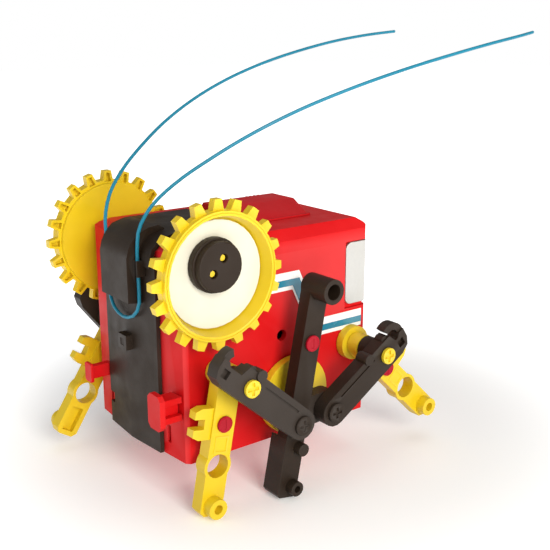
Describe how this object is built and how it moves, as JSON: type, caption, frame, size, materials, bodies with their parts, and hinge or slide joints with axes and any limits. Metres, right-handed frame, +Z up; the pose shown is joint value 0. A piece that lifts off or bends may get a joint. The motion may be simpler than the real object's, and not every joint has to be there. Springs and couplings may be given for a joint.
{
  "type": "solar walking robot kit",
  "caption": "Insect-like walking toy robot: red box body with solar module, gear-shaped eyes, wire antennae and swinging side legs driven through links by an inner crank",
  "frame": {"origin": "middle of the bounding box outline on the floor plane", "axes": "+Z up, the robot faces -Y, +X is the side with the raised rear leg"},
  "size_m": [0.1062, 0.1792, 0.1596],
  "materials": {
    "red_plastic": "glossy",
    "dark_red_plastic": "glossy",
    "black_plastic": "satin",
    "yellow_plastic": "glossy",
    "crimson_plastic": "glossy",
    "white_sticker": "glossy",
    "white_plastic": "satin",
    "blue_wire": "glossy",
    "blue_sticker": "glossy",
    "silver_plastic": "satin",
    "metal_can": "brushed",
    "steel": "brushed",
    "natural_plastic": "satin",
    "solar_glass": "glossy"
  },
  "bodies": {
    "chassis": {"near_casing": "red_plastic", "far_casing": "red_plastic", "near_lug": "red_plastic", "far_lug": "red_plastic", "roof_cover": "dark_red_plastic", "front_bracket": "black_plastic", "battery_tray": "black_plastic", "battery_cell": "metal_can", "motor": "metal_can", "eye_axle": "steel", "crank_axle": "steel", "antenna_wire": "blue_wire", "solar_frame": "silver_plastic", "solar_cell": "solar_glass", "near_decal": "white_sticker", "far_decal": "white_sticker", "near_decal_stripe": "blue_sticker", "far_decal_stripe": "blue_sticker", "near_front_hip_spacer": "yellow_plastic", "near_front_hip_pin": "yellow_plastic", "near_rear_hip_spacer": "yellow_plastic", "near_rear_hip_pin": "yellow_plastic", "far_front_hip_spacer": "yellow_plastic", "far_front_hip_pin": "yellow_plastic", "far_rear_hip_spacer": "yellow_plastic", "far_rear_hip_pin": "yellow_plastic"},
    "crank": {"crank_gear": "natural_plastic"},
    "pinion": {"motor_pinion": "natural_plastic"},
    "near_eye": {"near_eye_gear": "yellow_plastic", "near_eye_disc": "white_plastic", "near_pupil": "black_plastic"},
    "far_eye": {"far_eye_gear": "yellow_plastic", "far_eye_disc": "white_plastic", "far_pupil": "black_plastic"},
    "switch": {"switch_cap": "dark_red_plastic"},
    "door": {"battery_door": "red_plastic"},
    "near_middle": {"near_rocker": "black_plastic", "near_rocker_pin": "crimson_plastic", "near_rocker_disc": "yellow_plastic", "near_rocker_shaft": "steel"},
    "near_front": {"near_front_leg": "yellow_plastic", "near_front_leg_pin": "crimson_plastic", "near_front_link": "black_plastic", "near_front_link_pin": "black_plastic"},
    "near_rear": {"near_rear_leg": "yellow_plastic", "near_rear_leg_pin": "crimson_plastic", "near_rear_link": "black_plastic", "near_rear_link_pin": "black_plastic"},
    "far_middle": {"far_rocker": "black_plastic", "far_rocker_pin": "crimson_plastic", "far_rocker_disc": "yellow_plastic", "far_rocker_shaft": "steel"},
    "far_front": {"far_front_leg": "yellow_plastic", "far_front_leg_pin": "crimson_plastic", "far_front_link": "black_plastic", "far_front_link_pin": "black_plastic"},
    "far_rear": {"far_rear_leg": "yellow_plastic", "far_rear_leg_pin": "crimson_plastic", "far_rear_link": "black_plastic", "far_rear_link_pin": "black_plastic"}
  },
  "joints": [
    {"name": "crank_turn", "type": "hinge", "parent": "chassis", "child": "crank", "pos_m": [0.0107, -0.0253, 0.0618], "axis": [1, 0, 0], "range_deg": [0, 180]},
    {"name": "pinion_turn", "type": "hinge", "parent": "chassis", "child": "pinion", "pos_m": [0.0107, -0.0079, 0.0618], "axis": [1, 0, 0], "range_deg": [-820, 0]},
    {"name": "near_eye_spin", "type": "hinge", "parent": "chassis", "child": "near_eye", "pos_m": [0.037, -0.0626, 0.0838], "axis": [1, 0, 0], "continuous": true},
    {"name": "far_eye_spin", "type": "hinge", "parent": "chassis", "child": "far_eye", "pos_m": [-0.037, -0.0626, 0.0838], "axis": [1, 0, 0], "continuous": true},
    {"name": "switch_slide", "type": "slide", "parent": "chassis", "child": "switch", "axis": [0, -1, 0], "range_m": [0, 0.004]},
    {"name": "door_lift_off", "type": "slide", "parent": "chassis", "child": "door", "axis": [0, 0, -1], "range_m": [0, 0.012]},
    {"name": "near_middle_swing", "type": "hinge", "parent": "chassis", "child": "near_middle", "pos_m": [0.043, -0.0275, 0.0324], "axis": [1, 0, 0], "range_deg": [0, 30.5]},
    {"name": "near_front_swing", "type": "hinge", "parent": "chassis", "child": "near_front", "pos_m": [0.038, -0.0601, 0.0488], "axis": [1, 0, 0], "range_deg": [-14.5, 0]},
    {"name": "near_rear_swing", "type": "hinge", "parent": "chassis", "child": "near_rear", "pos_m": [0.038, 0.0009, 0.0463], "axis": [1, 0, 0], "range_deg": [-16.5, 0]},
    {"name": "far_middle_swing", "type": "hinge", "parent": "chassis", "child": "far_middle", "pos_m": [-0.043, -0.0275, 0.0324], "axis": [1, 0, 0], "range_deg": [0, 30.5]},
    {"name": "far_front_swing", "type": "hinge", "parent": "chassis", "child": "far_front", "pos_m": [-0.038, -0.0601, 0.0488], "axis": [1, 0, 0], "range_deg": [-20.5, 0]},
    {"name": "far_rear_swing", "type": "hinge", "parent": "chassis", "child": "far_rear", "pos_m": [-0.038, 0.0009, 0.0463], "axis": [1, 0, 0], "range_deg": [0, 16.5]}
  ],
  "couplings": [
    {"joint": "pinion_turn", "follows": "crank_turn", "ratio": -4.5333},
    {"joint": "near_middle_swing", "follows": "crank_turn", "ratio": 0.16667},
    {"joint": "near_front_swing", "follows": "crank_turn", "ratio": -0.07778},
    {"joint": "near_rear_swing", "follows": "crank_turn", "ratio": -0.08889},
    {"joint": "far_middle_swing", "follows": "crank_turn", "ratio": 0.16667},
    {"joint": "far_front_swing", "follows": "crank_turn", "ratio": -0.11111},
    {"joint": "far_rear_swing", "follows": "crank_turn", "ratio": 0.08889}
  ]
}
